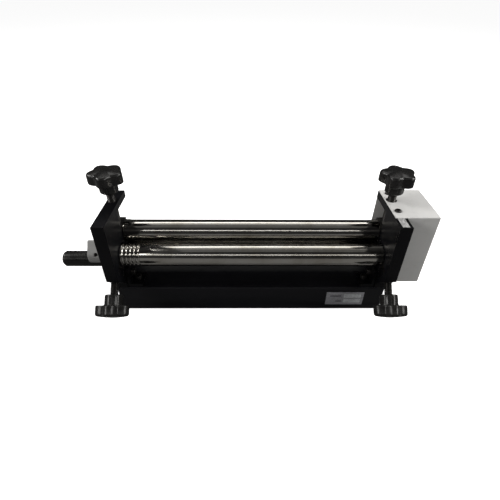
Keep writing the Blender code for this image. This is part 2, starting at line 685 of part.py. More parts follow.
def make_gear_cover():
    """A folded sheet cover, open towards the frame; its top and back reach over the frame's edge."""
    low = (COVER_LIP, COVER_FRONT, COVER_BOTTOM)
    high = (COVER_END, COVER_REAR, COVER_TOP)
    cover = add_box("gear_cover", low, high, GREY_PAINT)
    bevel(cover, 1.6 * MM, 3)
    inner_low = (COVER_LIP - MM, COVER_FRONT + COVER_WALL, COVER_BOTTOM + COVER_WALL)
    inner_high = (COVER_END - COVER_WALL, COVER_REAR - COVER_WALL, COVER_TOP - COVER_WALL)
    boolean(cover, add_box("cover_hollow", inner_low, inner_high, collection=cutters))
    step_low = (COVER_LIP - MM, COVER_FRONT - MM, COVER_BOTTOM - MM)
    step_high = (HALF_WIDTH + GAP, COVER_REAR - COVER_WALL, COVER_TOP - COVER_WALL)
    boolean(cover, add_box("cover_step", step_low, step_high, collection=cutters))
    above = COVER_TOP + MM
    drill(cover, (TOP_SCREW_X, UPPER_AXIS[0], above), -AXIS_Z, 4 * MM, SCREW_RADIUS + 1.6 * MM)
    for number, (x, y) in enumerate(COVER_SCREWS, start=1):
        drill(cover, (x, y, above), -AXIS_Z, 4 * MM, SMALL_SCREW_RADIUS + GAP, 12)
        seat = COVER_TOP + GAP
        profile = [
            (-1.9 * MM, 0),
            (-1.9 * MM, 2.6 * MM),
            (-1.3 * MM, 3.6 * MM),
            (0, 4.2 * MM),
            (0, SMALL_SCREW_RADIUS),
            (8 * MM, SMALL_SCREW_RADIUS),
            (8 * MM, 0),
        ]
        screw = add_turned(f"cover_screw_{number}", profile, (x, y, seat), -AXIS_Z, DARK_STEEL, 16)
        slot_low = (x - 0.5 * MM, y - 3 * MM, seat + MM)
        slot_high = (x + 0.5 * MM, y + 3 * MM, seat + 3 * MM)
        boolean(screw, add_box(f"screw_slot_{number}", slot_low, slot_high, collection=cutters))


def hub_outline():
    """The crank's hub block: a rounded square, with a large rounding at its lower front corner."""
    lean = math.radians(HUB_LEAN)
    up = Vector((math.cos(lean), math.sin(lean)))
    back = Vector((math.sin(lean), -math.cos(lean)))
    middle = Vector(LOWER_AXIS) - up * HUB_OFFSET
    corners = (
        (-1, 1, HUB_ROUNDING),
        (-1, -1, HUB_FRONT_ROUNDING),
        (1, -1, HUB_ROUNDING),
        (1, 1, HUB_ROUNDING),
    )
    points = []
    for number, (along, above, rounding) in enumerate(corners):
        centre = middle + (back * along + up * above) * (HUB_HALF_SIZE - rounding)
        start = HUB_LEAN + 90 * number
        points += arc(centre, rounding, start, start + 90, 6)
    return points


def make_crank():
    """The crank is held on the lower roller's journal by a grub screw; its grip spins on a shoulder screw."""
    reach = Vector((0, math.cos(CRANK_ANGLE), math.sin(CRANK_ANGLE)))
    axis = Vector((0, *LOWER_AXIS))
    pivot = axis + reach * CRANK_RADIUS
    hub_length = CRANK_OUTER - ARM_OUTER + MM
    crank = add_plate("crank_arm", hub_outline(), -CRANK_OUTER, hub_length, GREY_PAINT)
    bevel(crank, 1.2 * MM, 2)
    degrees = math.degrees(CRANK_ANGLE)
    outline = arc(LOWER_AXIS, ARM_HALF_WIDTH + MM, degrees + 90, degrees + 270, 10)
    outline += arc(pivot.yz, ARM_HALF_WIDTH - MM, degrees - 90, degrees + 90, 10)
    arm = add_plate("crank_bar", outline, -ARM_OUTER, ARM_OUTER - ARM_INNER, collection=cutters)
    boolean(crank, arm, "UNION")
    bore_length = CRANK_OUTER - ARM_INNER + 2 * MM
    drill(crank, axis - AXIS_X * (ARM_INNER - MM), -AXIS_X, bore_length, JOURNAL_RADIUS + GAP)
    pivot_hole = SPINDLE_RADIUS + GAP
    pivot_start = pivot - AXIS_X * (ARM_OUTER + MM)
    drill(crank, pivot_start, AXIS_X, ARM_OUTER - ARM_INNER + 2 * MM, pivot_hole)

    grub_axis = axis - AXIS_X * GRUB_X
    hole_length = 2 * HUB_HALF_SIZE
    drill(crank, grub_axis - AXIS_Y * hole_length, AXIS_Y, hole_length, GRUB_RADIUS + GAP, 16)
    grub_start = grub_axis - AXIS_Y * (JOURNAL_RADIUS + GRUB_LENGTH)
    grub = add_cylinder(
        "crank_grub_screw", grub_start, AXIS_Y, GRUB_LENGTH, GRUB_RADIUS, DARK_STEEL, sides=16
    )
    drill(grub, grub_start - AXIS_Y * MM, AXIS_Y, 4 * MM, GRUB_RADIUS * 0.55, 6)

    outer = ARM_OUTER + GAP
    grip_end = outer + GRIP_LENGTH
    recess = 5 * MM
    profile = [
        (outer, pivot_hole),
        (outer, GRIP_RADIUS - 1.6 * MM),
        (outer + 2 * MM, GRIP_RADIUS - 0.4 * MM),
        (outer + 8 * MM, GRIP_RADIUS),
        (grip_end - 3 * MM, GRIP_RADIUS),
        (grip_end - 0.8 * MM, GRIP_RADIUS - 0.9 * MM),
        (grip_end, GRIP_RADIUS - 2.4 * MM),
        (grip_end, SPINDLE_HEAD_RADIUS + GAP),
        (grip_end - recess, SPINDLE_HEAD_RADIUS + GAP),
        (grip_end - recess, pivot_hole),
    ]
    add_turned("crank_grip", profile, (0, *pivot.yz), -AXIS_X, BLACK_PLASTIC, 24)
    tip = ARM_INNER + 0.2 * MM
    spindle = [
        (tip, 0),
        (tip, SPINDLE_RADIUS - 0.6 * MM),
        (tip + 0.6 * MM, SPINDLE_RADIUS),
        (grip_end - recess + GAP, SPINDLE_RADIUS),
        (grip_end - recess + GAP, SPINDLE_HEAD_RADIUS),
        (grip_end - MM, SPINDLE_HEAD_RADIUS),
        (grip_end - MM, 0),
    ]
    bolt = add_turned("crank_spindle", spindle, (0, *pivot.yz), -AXIS_X, ZINC_STEEL, 16)
    slot_low = (-grip_end, pivot.y - 5 * MM, pivot.z - 0.6 * MM)
    slot_high = (-grip_end + 2.4 * MM, pivot.y + 5 * MM, pivot.z + 0.6 * MM)
    boolean(bolt, add_box("spindle_slot", slot_low, slot_high, collection=cutters))


def make_labels():
    """Two thin blank plates: one on the base tube's front and one on the right frame's nose."""
    front = -TUBE_DEPTH / 2 - GAP
    low = (99.5 * MM, front - 0.5 * MM, 10 * MM)
    high = (149.1 * MM, front, 32 * MM)
    add_box("base_label", low, high, LABEL_FILM)
    low = (FRAME_INNER + 2.5 * MM, FRAME_FRONT + MM, FRAME_TOP + GAP)
    high = (HALF_WIDTH - 4 * MM, COVER_FRONT - GAP, FRAME_TOP + GAP + 0.4 * MM)
    add_box("frame_label", low, high, LABEL_FILM)


make_base()
make_frames()
make_foot_brackets()
make_rollers()
make_upper_carriage()
make_bending_carriage()
make_rings()
make_gears()
make_lower_bushes()
make_gear_cover()
make_crank()
make_labels()
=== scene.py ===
"""Studio scene for the three-roll bench machine.

The rollers, knobs, threads and grip are finer than in the CAD, and every piece gets a surface finish.
"""

import json
import math

import bmesh
import bpy
from mathutils import Matrix, Vector


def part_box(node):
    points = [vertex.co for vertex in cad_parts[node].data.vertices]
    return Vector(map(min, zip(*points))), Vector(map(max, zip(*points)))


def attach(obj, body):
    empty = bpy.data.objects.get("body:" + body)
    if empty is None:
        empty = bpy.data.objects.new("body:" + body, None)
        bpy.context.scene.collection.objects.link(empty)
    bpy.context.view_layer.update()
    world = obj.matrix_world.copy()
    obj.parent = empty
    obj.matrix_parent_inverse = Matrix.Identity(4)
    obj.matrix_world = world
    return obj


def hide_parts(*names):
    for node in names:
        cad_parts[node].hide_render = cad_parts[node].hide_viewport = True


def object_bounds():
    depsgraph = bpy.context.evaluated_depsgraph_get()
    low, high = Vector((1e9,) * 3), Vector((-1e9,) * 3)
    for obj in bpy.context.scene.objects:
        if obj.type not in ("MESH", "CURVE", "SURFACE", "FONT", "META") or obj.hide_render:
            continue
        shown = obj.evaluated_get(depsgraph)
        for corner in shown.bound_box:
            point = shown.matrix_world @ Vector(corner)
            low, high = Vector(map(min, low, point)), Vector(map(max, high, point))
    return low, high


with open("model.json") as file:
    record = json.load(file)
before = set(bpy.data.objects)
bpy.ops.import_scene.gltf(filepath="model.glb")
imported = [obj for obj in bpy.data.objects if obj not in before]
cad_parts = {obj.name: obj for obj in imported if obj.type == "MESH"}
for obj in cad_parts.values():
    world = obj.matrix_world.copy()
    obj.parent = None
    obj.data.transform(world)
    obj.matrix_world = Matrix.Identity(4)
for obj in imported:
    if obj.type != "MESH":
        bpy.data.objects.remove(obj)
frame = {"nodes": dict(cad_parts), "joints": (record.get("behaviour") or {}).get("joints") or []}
nodes = frame["nodes"]
cad_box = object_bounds()
scene = bpy.context.scene

MM = 0.001
AXIS_X = Vector((1, 0, 0))
AXIS_Y = Vector((0, 1, 0))
AXIS_Z = Vector((0, 0, 1))
SLOPE = Vector((0, 1, 1)).normalized()
SIDES = (("left", -1), ("right", 1))


def joint_axis(name):
    """A point on a joint's axis, in the frame."""
    found = next(joint for joint in frame["joints"] if joint["name"] == name)
    return Vector(found["pos_m"])


# ---------------------------------------------------------------- camera

CAMERA_PLACE = Vector((-7.05, -388.0, 364.06)) * MM
CAMERA_PITCH = math.radians(37.05)
CAMERA_YAW = math.radians(-0.76)
CAMERA_ROLL = math.radians(0.52)
CAMERA_LENS = 26.157


def make_camera():
    """A camera in front of the machine, looking down on it."""
    data = bpy.data.cameras.new("camera")
    data.lens = CAMERA_LENS
    data.sensor_width = 36
    data.clip_start = 0.01
    camera = bpy.data.objects.new("camera", data)
    scene.collection.objects.link(camera)
    turn = Matrix.Rotation(CAMERA_YAW, 4, "Z")
    tilt = Matrix.Rotation(math.pi / 2 - CAMERA_PITCH, 4, "X")
    roll = Matrix.Rotation(CAMERA_ROLL, 4, "Z")
    camera.matrix_world = Matrix.Translation(CAMERA_PLACE) @ turn @ tilt @ roll
    scene.camera = camera


# ---------------------------------------------------------------- materials

# Where the grime's noise stops, and what share of the powder coat's grey is left there.
GRIME = ((0.25, 0.88), (0.45, 1.0), (0.8, 1.06))


class Finish:
    """A Principled material with short helpers for its procedural nodes."""

    def __init__(self, name, colour, roughness, metallic=0.0):
        self.material = bpy.data.materials.new(name)
        self.material.use_nodes = True
        self.tree = self.material.node_tree
        self.shader = self.tree.nodes["Principled BSDF"]
        self.shader.inputs["Base Color"].default_value = (*colour, 1)
        self.shader.inputs["Roughness"].default_value = roughness
        self.shader.inputs["Metallic"].default_value = metallic
        self.place = self.tree.nodes.new("ShaderNodeTexCoord").outputs["Object"]

    def add(self, kind, **settings):
        """A node with its properties set."""
        node = self.tree.nodes.new(kind)
        for name, value in settings.items():
            setattr(node, name, value)
        return node

    def link(self, source, target):
        self.tree.links.new(source, target)

    def stretch(self, scale):
        """The object's coordinates, scaled along each axis."""
        mapping = self.add("ShaderNodeMapping")
        mapping.inputs["Scale"].default_value = scale
        self.link(self.place, mapping.inputs["Vector"])
        return mapping.outputs["Vector"]

    def noise(self, scale, detail=3.0, roughness=0.5, vector=None):
        """Noise with about `scale` features a metre."""
        node = self.add("ShaderNodeTexNoise")
        node.inputs["Scale"].default_value = scale
        node.inputs["Detail"].default_value = detail
        node.inputs["Roughness"].default_value = roughness
        self.link(vector or self.place, node.inputs["Vector"])
        return node.outputs["Fac"]

    def spread(self, value, low, high, start=0.3, end=0.7):
        """The value's start..end range, spread to low..high."""
        node = self.add("ShaderNodeMapRange")
        node.inputs["From Min"].default_value = start
        node.inputs["From Max"].default_value = end
        node.inputs["To Min"].default_value = low
        node.inputs["To Max"].default_value = high
        self.link(value, node.inputs["Value"])
        return node.outputs["Result"]

    def math(self, operation, first, second):
        """Two values, or a value and a number, joined by an operation."""
        node = self.add("ShaderNodeMath", operation=operation)
        for socket, value in zip(node.inputs, (first, second)):
            if isinstance(value, (int, float)):
                socket.default_value = value
            else:
                self.link(value, socket)
        return node.outputs["Value"]

    def colours(self, value, *stops):
        """Colour from a value, by (position, colour) stops."""
        node = self.add("ShaderNodeValToRGB")
        ramp = node.color_ramp
        while len(ramp.elements) < len(stops):
            ramp.elements.new(0.5)
        for element, (position, colour) in zip(ramp.elements, stops):
            element.position = position
            element.color = (*colour, 1)
        self.link(value, node.inputs["Fac"])
        return node.outputs["Color"]

    def set(self, socket, source):
        self.link(source, self.shader.inputs[socket])

    def bump(self, height, depth, strength=1.0):
        """Raise the surface by the height, `depth` metres deep."""
        node = self.add("ShaderNodeBump")
        node.inputs["Strength"].default_value = strength
        node.inputs["Distance"].default_value = depth
        self.link(height, node.inputs["Height"])
        self.set("Normal", node.outputs["Normal"])


def black_enamel():
    """Gloss black machine enamel: orange peel, a little dust and a worn sheen."""
    finish = Finish("black_enamel", (0.004, 0.004, 0.005), 0.34)
    broad = finish.noise(28, 4, 0.6)
    specks = finish.noise(2600, 2, 0.6)
    dust = finish.spread(specks, 0, 1, 0.66, 0.72)
    wear = finish.math("ADD", finish.spread(broad, 0, 0.6), finish.math("MULTIPLY", dust, 0.4))
    shades = (0.0, (0.0026, 0.0026, 0.0033)), (0.6, (0.0042, 0.0042, 0.0052)), (1.0, (0.012, 0.012, 0.0125))
    finish.set("Base Color", finish.colours(wear, *shades))
    finish.set("Roughness", finish.spread(broad, 0.24, 0.4))
    finish.shader.inputs["Specular IOR Level"].default_value = 0.1
    finish.shader.inputs["Coat Weight"].default_value = 0.04
    finish.shader.inputs["Coat Roughness"].default_value = 0.12
    finish.bump(finish.noise(420, 2, 0.4), 0.00006, 0.5)
    return finish.material


def tube_enamel():
    """The base tube's enamel: a cooler black with drawn-tube streaks under it."""
    finish = Finish("tube_enamel", (0.0042, 0.0042, 0.006), 0.34)
    streaks = finish.noise(160, 3, 0.6, finish.stretch((0.06, 1, 1)))
    shades = (0.3, (0.0034, 0.0033, 0.0047)), (0.7, (0.0055, 0.0054, 0.0073))
    finish.set("Base Color", finish.colours(streaks, *shades))
    finish.shader.inputs["Specular IOR Level"].default_value = 0.25
    finish.set("Roughness", finish.spread(finish.noise(22, 4, 0.6), 0.26, 0.42))
    finish.bump(finish.noise(360, 2, 0.4), 0.00006, 0.45)
    return finish.material


def powder_coat(name, grey):
    """Powder coat of a neutral grey: a fine pebbled skin, with faint grime."""
    finish = Finish(name, (grey, grey, 0.99 * grey), 0.5)
    grime = finish.noise(34, 5, 0.65)
    shades = [(stop, (share * grey, share * grey, 0.99 * share * grey)) for stop, share in GRIME]
    finish.set("Base Color", finish.colours(grime, *shades))
    finish.set("Roughness", finish.spread(grime, 0.58, 0.42))
    finish.bump(finish.noise(1300, 2, 0.5), 0.00008, 0.4)
    return finish.material


def ground_steel():
    """Ground and polished roller steel: fine rings round the roller, scuffs and warm stains."""
    finish = Finish("ground_steel", (0.5, 0.485, 0.45), 0.16, 1.0)
    rings = finish.noise(1, 2, 0.6, finish.stretch((1900, 6, 6)))
    scuffs = finish.noise(1, 4, 0.7, finish.stretch((55, 130, 130)))
    stains = finish.noise(26, 4, 0.6)
    shades = (0.25, (0.36, 0.335, 0.29)), (0.5, (0.5, 0.485, 0.45)), (0.8, (0.56, 0.55, 0.53))
    finish.set("Base Color", finish.colours(stains, *shades))
    worn = finish.math("ADD", finish.spread(rings, 0.1, 0.15), finish.spread(scuffs, 0, 0.1, 0.58, 0.78))
    finish.set("Roughness", worn)
    finish.bump(rings, 0.000004, 0.02)
    return finish.material


def bright_zinc():
    """Bright zinc plate: cool, faintly mottled."""
    finish = Finish("bright_zinc", (0.62, 0.62, 0.6), 0.3, 1.0)
    mottle = finish.noise(480, 4, 0.6)
    finish.set("Base Color", finish.colours(mottle, (0.3, (0.48, 0.48, 0.47)), (0.7, (0.66, 0.66, 0.64))))
    finish.set("Roughness", finish.spread(mottle, 0.22, 0.42))
    finish.bump(mottle, 0.00002, 0.3)
    return finish.material


def black_oxide():
    """Oiled black oxide on steel screws."""
    finish = Finish("black_oxide", (0.035, 0.034, 0.034), 0.35, 0.85)
    mottle = finish.noise(650, 4, 0.6)
    shades = (0.3, (0.022, 0.021, 0.021)), (0.75, (0.06, 0.057, 0.054))
    finish.set("Base Color", finish.colours(mottle, *shades))
    finish.set("Roughness", finish.spread(mottle, 0.28, 0.48))
    finish.bump(mottle, 0.00002, 0.4)
    return finish.material


def machined_bronze():
    """Turned bronze, a little tarnished."""
    finish = Finish("machined_bronze", (0.42, 0.26, 0.11), 0.35, 1.0)
    tarnish = finish.noise(120, 5, 0.65)
    shades = (0.3, (0.2, 0.12, 0.06)), (0.6, (0.42, 0.27, 0.12)), (0.8, (0.5, 0.34, 0.17))
    finish.set("Base Color", finish.colours(tarnish, *shades))
    finish.set("Roughness", finish.spread(tarnish, 0.5, 0.28))
    finish.bump(finish.noise(1, 2, 0.5, finish.stretch((1500, 60, 60))), 0.00002, 0.35)
    return finish.material


def moulded_plastic():
    """Glossy black phenolic moulding, with handling marks."""
    finish = Finish("moulded_plastic", (0.008, 0.008, 0.008), 0.2)
    flow = finish.noise(60, 4, 0.6)
    marks = finish.noise(700, 3, 0.6)
    shades = (0.3, (0.006, 0.006, 0.006)), (0.75, (0.014, 0.0135, 0.013))
    finish.set("Base Color", finish.colours(flow, *shades))
    handled = finish.math("ADD", finish.spread(flow, 0.16, 0.28), finish.spread(marks, 0, 0.07))
    finish.set("Roughness", handled)
    finish.shader.inputs["Specular IOR Level"].default_value = 0.28
    finish.bump(marks, 0.00002, 0.25)
    return finish.material


def satin_plastic():
    """Satin black plastic of the tube's end plugs."""
    finish = Finish("satin_plastic", (0.014, 0.014, 0.015), 0.5)
    grain = finish.noise(1500, 3, 0.6)
    finish.set("Base Color", finish.colours(grain, (0.3, (0.011, 0.011, 0.012)), (0.7, (0.02, 0.02, 0.021))))
    finish.set("Roughness", finish.spread(finish.noise(40, 3, 0.5), 0.42, 0.58))
    finish.bump(grain, 0.00005, 0.4)
    return finish.material


def label_foil(name, colour, mottle=0.1):
    """Brushed foil of a blank plate, and of the silver sheet on the right frame's top front; mottle is how
    uneven its colour is.
    """
    finish = Finish(name, colour, 0.42, 0.35)
    brush = finish.noise(1, 3, 0.6, finish.stretch((90, 90, 4200)))
    patches = finish.noise(420, 4, 0.65)
    lines = finish.math("MULTIPLY", brush, 1 - mottle)
    uneven = finish.math("ADD", lines, finish.math("MULTIPLY", patches, mottle))
    dark = tuple((0.85 - 0.6 * mottle) * part for part in colour)
    light = tuple((1.1 + 0.3 * mottle) * part for part in colour)
    finish.set("Base Color", finish.colours(uneven, (0.38, dark), (0.62, light)))
    finish.set("Roughness", finish.spread(brush, 0.36, 0.5))
    finish.bump(brush, 0.000015, 0.3)
    return finish.material


ENAMEL = black_enamel()
TUBE_ENAMEL = tube_enamel()
POWDER = powder_coat("grey_powder_coat", 0.6)
CRANK_GREY = powder_coat("crank_grey", 0.3)
STEEL = ground_steel()
ZINC = bright_zinc()
OXIDE = black_oxide()
BRONZE = machined_bronze()
PLASTIC = moulded_plastic()
SATIN = satin_plastic()
FOIL = label_foil("label_foil", (0.36, 0.36, 0.39), 0.4)
FIELD = label_foil("label_field", (0.58, 0.6, 0.62), 0.4)
PRINT = label_foil("label_print", (0.12, 0.12, 0.13))
# A strongly mottled, half-metallic silver sheet for the bright patch on the right frame's top front.
SILVER = label_foil("silver_patch", (0.44, 0.44, 0.44), 0.8)


# ---------------------------------------------------------------- shapes

SHARP_ANGLE = math.radians(38)


def add_piece(name, bm, material, body, slot, *stands_for):
    """A bmesh becomes a smooth-shaded piece that rides on a body."""
    bmesh.ops.recalc_face_normals(bm, faces=bm.faces)
    mesh = bpy.data.meshes.new(name)
    bm.to_mesh(mesh)
    bm.free()
    mesh.materials.append(material)
    mesh.shade_smooth()
    mesh.set_sharp_from_angle(angle=SHARP_ANGLE)
    piece = bpy.data.objects.new(name, mesh)
    scene.collection.objects.link(piece)
    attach(piece, body)
    if stands_for:
        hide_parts(*stands_for)


def axis_frame(origin, direction):
    """A matrix with its origin at a point and +Z along the direction; +X stays along the rollers."""
    direction = Vector(direction)
    side = AXIS_X if abs(direction.x) < 0.5 else AXIS_Y
    across = direction.cross(side).normalized()
    return Matrix.Translation(origin) @ Matrix((side, across, direction)).transposed().to_4x4()


def rounded(profile, radii, steps=5):
    """The profile with its corners rounded; `radii` maps a corner's index to its radius."""
    points = [Vector(point) for point in profile]
    result = []
    for index, point in enumerate(points):
        radius = radii.get(index, 0)
        if not radius:
            result.append(tuple(point))
            continue
        before = (points[index - 1] - point).normalized()
        after = (points[(index + 1) % len(points)] - point).normalized()
        half = before.angle(after) / 2
        reach = radius / math.tan(half)
        start, end = point + before * reach, point + after * reach
        centre = point + (before + after).normalized() * (radius / math.sin(half))
        first, last = start - centre, end - centre
        turn = first.angle_signed(last)
        for step in range(steps + 1):
            angle = turn * step / steps
            c, s = math.cos(-angle), math.sin(-angle)
            result.append((centre.x + first.x * c - first.y * s, centre.y + first.x * s + first.y * c))
    return result


def turned(bm, profile, origin, direction, steps=96, closed=False):
    """Turn (distance, radius) pairs about the direction. A radius of zero is the axis."""
    place = axis_frame(origin, direction)
    rings = []
    for distance, radius in profile:
        if radius < 1e-7:
            rings.append([bm.verts.new(place @ Vector((0, 0, distance)))])
            continue
        angles = [2 * math.pi * step / steps for step in range(steps)]
        ring = [(radius * math.cos(a), radius * math.sin(a), distance) for a in angles]
        rings.append([bm.verts.new(place @ Vector(point)) for point in ring])
    pairs = list(zip(rings, rings[1:]))
    if closed:
        pairs.append((rings[-1], rings[0]))
    for low, high in pairs:
        join_rings(bm, low, high)


def join_rings(bm, low, high):
    """Faces between two rings; either may be a single point."""
    count = max(len(low), len(high))
    for step in range(count):
        after = (step + 1) % count
        corners = [low[step % len(low)], low[after % len(low)]]
        corners += [high[after % len(high)], high[step % len(high)]]
        unique = list(dict.fromkeys(corners))
        if len(unique) > 2:
            bm.faces.new(unique)


def soften(node, width, segments=3):
    """Round the hard edges of a CAD node that keeps its own shape."""
    weld = node.modifiers.new("weld", "WELD")
    weld.merge_threshold = 0.00002
    edge = node.modifiers.new("edge", "BEVEL")
    edge.width = width
    edge.segments = segments
    edge.limit_method = "ANGLE"
    edge.angle_limit = math.radians(30)
    node.data.shade_smooth()
    normals = node.modifiers.new("normals", "WEIGHTED_NORMAL")
    normals.weight = 95
    normals.keep_sharp = True


def paint(material, *names):
    """Give CAD nodes a finish."""
    for name in names:
        slots = nodes[name].data.materials
        slots.clear()
        slots.append(material)


def both(pattern):
    """The left and right names of a pair."""
    return [pattern.format(side) for side, _ in SIDES]


# ---------------------------------------------------------------- pieces

SCREW_RADIUS = 5 * MM
ROLLER_RADIUS = 14 * MM
JOURNAL_RADIUS = 6 * MM
BODY_HALF = 160 * MM


def wire_grooves():
    """(centre, width) of the wire grooves at the left end of the bending roller."""
    widest, narrowest, count = 4.2 * MM, 2.2 * MM, 5
    inset, spacing = 4.5 * MM, 4.7 * MM
    step = (widest - narrowest) / (count - 1)
    return [(-BODY_HALF + inset + spacing * i, widest - step * i) for i in range(count)]


def roller(name, joint, body, grooves=()):
    """A fine copy of a roller: chamfered body, round-nosed journals, centre holes and round grooves."""
    low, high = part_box(name)
    centre_hole, hole_depth, cone_depth = 1.6 * MM, 3 * MM, 1.4 * MM
    tip = 0.8 * MM
    end_run, end_rounding = 3 * MM, 0.9 * MM
    lip, groove_drop = 0.25 * MM, 0.12 * MM
    profile = [
        (low.x + hole_depth, 0),
        (low.x + cone_depth, centre_hole * 0.55),
        (low.x, centre_hole),
        (low.x, JOURNAL_RADIUS - tip),
        (low.x + tip, JOURNAL_RADIUS),
        (-BODY_HALF, JOURNAL_RADIUS),
    ]
    profile += rounded(
        [(-BODY_HALF, JOURNAL_RADIUS), (-BODY_HALF, ROLLER_RADIUS), (-BODY_HALF + end_run, ROLLER_RADIUS)],
        {1: end_rounding},
    )[1:-1]
    for centre, width in grooves:
        steps = 10
        profile.append((centre - width / 2 - lip, ROLLER_RADIUS))
        for step in range(steps + 1):
            turn = math.pi * step / steps
            drop = width / 2 * math.sin(turn) + groove_drop
            profile.append((centre - width / 2 * math.cos(turn), ROLLER_RADIUS - drop))
        profile.append((centre + width / 2 + lip, ROLLER_RADIUS))
    profile += rounded(
        [(BODY_HALF - end_run, ROLLER_RADIUS), (BODY_HALF, ROLLER_RADIUS), (BODY_HALF, JOURNAL_RADIUS)],
        {1: end_rounding},
    )[1:-1]
    profile += [
        (BODY_HALF, JOURNAL_RADIUS),
        (high.x - tip, JOURNAL_RADIUS),
        (high.x, JOURNAL_RADIUS - tip),
        (high.x, centre_hole),
        (high.x - cone_depth, centre_hole * 0.55),
        (high.x - hole_depth, 0),
    ]
    bm = bmesh.new()
    axis = joint_axis(joint)
    turned(bm, profile, (0, axis.y, axis.z), AXIS_X, 128)
    add_piece(f"{name}_ground", bm, STEEL, body, "polished_steel", name)


KNOB_RADIUS = 20.8 * MM
KNOB_LOBES = 5
HUB_LENGTH = 13.2 * MM
HEAD_LENGTH = 14.8 * MM
HUB_RADIUS = 11 * MM
HUB_FLUTES = 10
BORE_DEPTH = 3 * MM
LOWER_KNOB_START = 49.2 * MM
LOWER_SCREW_TIP = 11.6 * MM
FIRST_LOBES = {"left_top": math.radians(273), "right_top": math.radians(20)}


def lobe(angle):
    """The head's outline as a share of its radius: round lobes with wide hollows between them."""
    wave = (1 + math.cos(KNOB_LOBES * angle)) / 2
    return 0.79 + 0.21 * wave**0.8


def knob_rings():
    """A knob's rings, bore to top, as (height, radius, how star-shaped, inset), and its height."""
    bore = SCREW_RADIUS + 0.3 * MM
    chamfer = 0.4 * MM
    face = 7.6 * MM
    rings = [(BORE_DEPTH, bore, 0, 0), (chamfer, bore, 0, 0), (0, bore + chamfer, 0, 0), (0, face, 0, 0)]
    rounding = 2.6 * MM
    for step in range(1, 7):
        turn = math.pi / 2 * step / 6
        radius = HUB_RADIUS - rounding + rounding * math.sin(turn)
        rings.append((rounding * (1 - math.cos(turn)), radius, 0, 0))
    for share in (0.35, 0.6, 0.85):
        rings.append((HUB_LENGTH * share, HUB_RADIUS, 0, 0))
    neck = 1.6 * MM
    for step in range(5):
        turn = math.pi / 2 * step / 4
        flare = neck * (1 - math.cos(turn))
        rings.append((HUB_LENGTH - neck + neck * math.sin(turn), HUB_RADIUS + flare, step / 8, 0))
    corner = 1.3 * MM
    underside = 5.2 * MM
    rings.append((HUB_LENGTH, KNOB_RADIUS, 1, underside))
    for step in range(5):
        turn = math.pi / 2 * step / 4
        height = HUB_LENGTH + corner * (1 - math.cos(turn))
        rings.append((height, KNOB_RADIUS, 1, corner * (1 - math.sin(turn))))
    rings.append((HUB_LENGTH + HEAD_LENGTH * 0.45, KNOB_RADIUS, 1, 0))
    crown = 3.2 * MM
    dome = 1.6 * MM
    shoulder = HUB_LENGTH + HEAD_LENGTH - crown - dome
    for step in range(8):
        turn = math.pi / 2 * step / 7
        rings.append((shoulder + crown * math.sin(turn), KNOB_RADIUS, 1, crown * (1 - math.cos(turn))))
    for share in (0.75, 0.5, 0.25):
        inset = crown + (KNOB_RADIUS - crown) * (1 - share)
        rings.append((shoulder + crown + dome * (1 - share**2), KNOB_RADIUS, share, inset))
    return rings, shoulder + crown + dome


def star_knob(name, origin, direction, body):
    """A moulded five-lobed knob: fluted hub, rounded lobes and a gently domed top."""
    place = axis_frame(origin, direction)
    first = FIRST_LOBES.get(name, math.pi / 2)
    count = 160
    flute_depth, hollow_inset = 0.35 * MM, 0.28
    rings, top = knob_rings()
    bm = bmesh.new()
    made = []
    for height, radius, star, inset in rings:
        ring = []
        for step in range(count):
            angle = 2 * math.pi * step / count
            shape = 1 + star * (lobe(angle) - 1)
            reach = radius * shape - inset * (1 - hollow_inset * (1 - lobe(angle)) * star)
            on_hub_side = star == 0 and height > 2 * MM and radius > 10 * MM
            if on_hub_side:
                reach -= flute_depth * (0.5 + 0.5 * math.cos(HUB_FLUTES * angle)) ** 2
            spin = angle + first
            point = Vector((reach * math.cos(spin), reach * math.sin(spin), height))
            ring.append(bm.verts.new(place @ point))
        made.append(ring)
    for low, high in zip(made, made[1:]):
        join_rings(bm, low, high)
    join_rings(bm, made[-1], [bm.verts.new(place @ Vector((0, 0, top)))])
    join_rings(bm, made[0], [bm.verts.new(place @ Vector((0, 0, BORE_DEPTH)))])
    add_piece(f"{name}_moulding", bm, PLASTIC, body, "black_plastic", f"{name}_knob")


THREAD_PITCH = 1.5 * MM
THREAD_DEPTH = 0.75 * MM
THREAD_LEAD_IN = 0.3 * MM
SCREW_IN_KNOB = 10 * MM


def threaded_screw(name, origin, direction, start, end, body):
    """An M10 screw with a real helical thread between two distances along the direction."""
    place = axis_frame(origin, direction)
    segments = 40
    per_turn = 8
    count = int((end - start) / THREAD_PITCH * per_turn)
    bm = bmesh.new()
    made = []
    for row in range(count + 1):
        distance = start + (end - start) * row / count
        fade = min(1, (distance - start) / THREAD_PITCH, (end - distance) / THREAD_PITCH)
        ring = []
        for step in range(segments):
            phase = (distance / THREAD_PITCH - step / segments) % 1
            tooth = abs(2 * phase - 1)
            groove = min(1, max(0, 1.25 * tooth - 0.12))
            cut = THREAD_DEPTH * groove * fade + THREAD_LEAD_IN * (1 - fade)
            radius = SCREW_RADIUS - cut
            angle = 2 * math.pi * step / segments
            point = Vector((radius * math.cos(angle), radius * math.sin(angle), distance))
            ring.append(bm.verts.new(place @ point))
        made.append(ring)
    for low, high in zip(made, made[1:]):
        join_rings(bm, low, high)
    for ring, distance in ((made[0], start), (made[-1], end)):
        join_rings(bm, ring, [bm.verts.new(place @ Vector((0, 0, distance)))])
    add_piece(f"{name}_thread", bm, OXIDE, body, "dark_steel", f"{name}_screw")


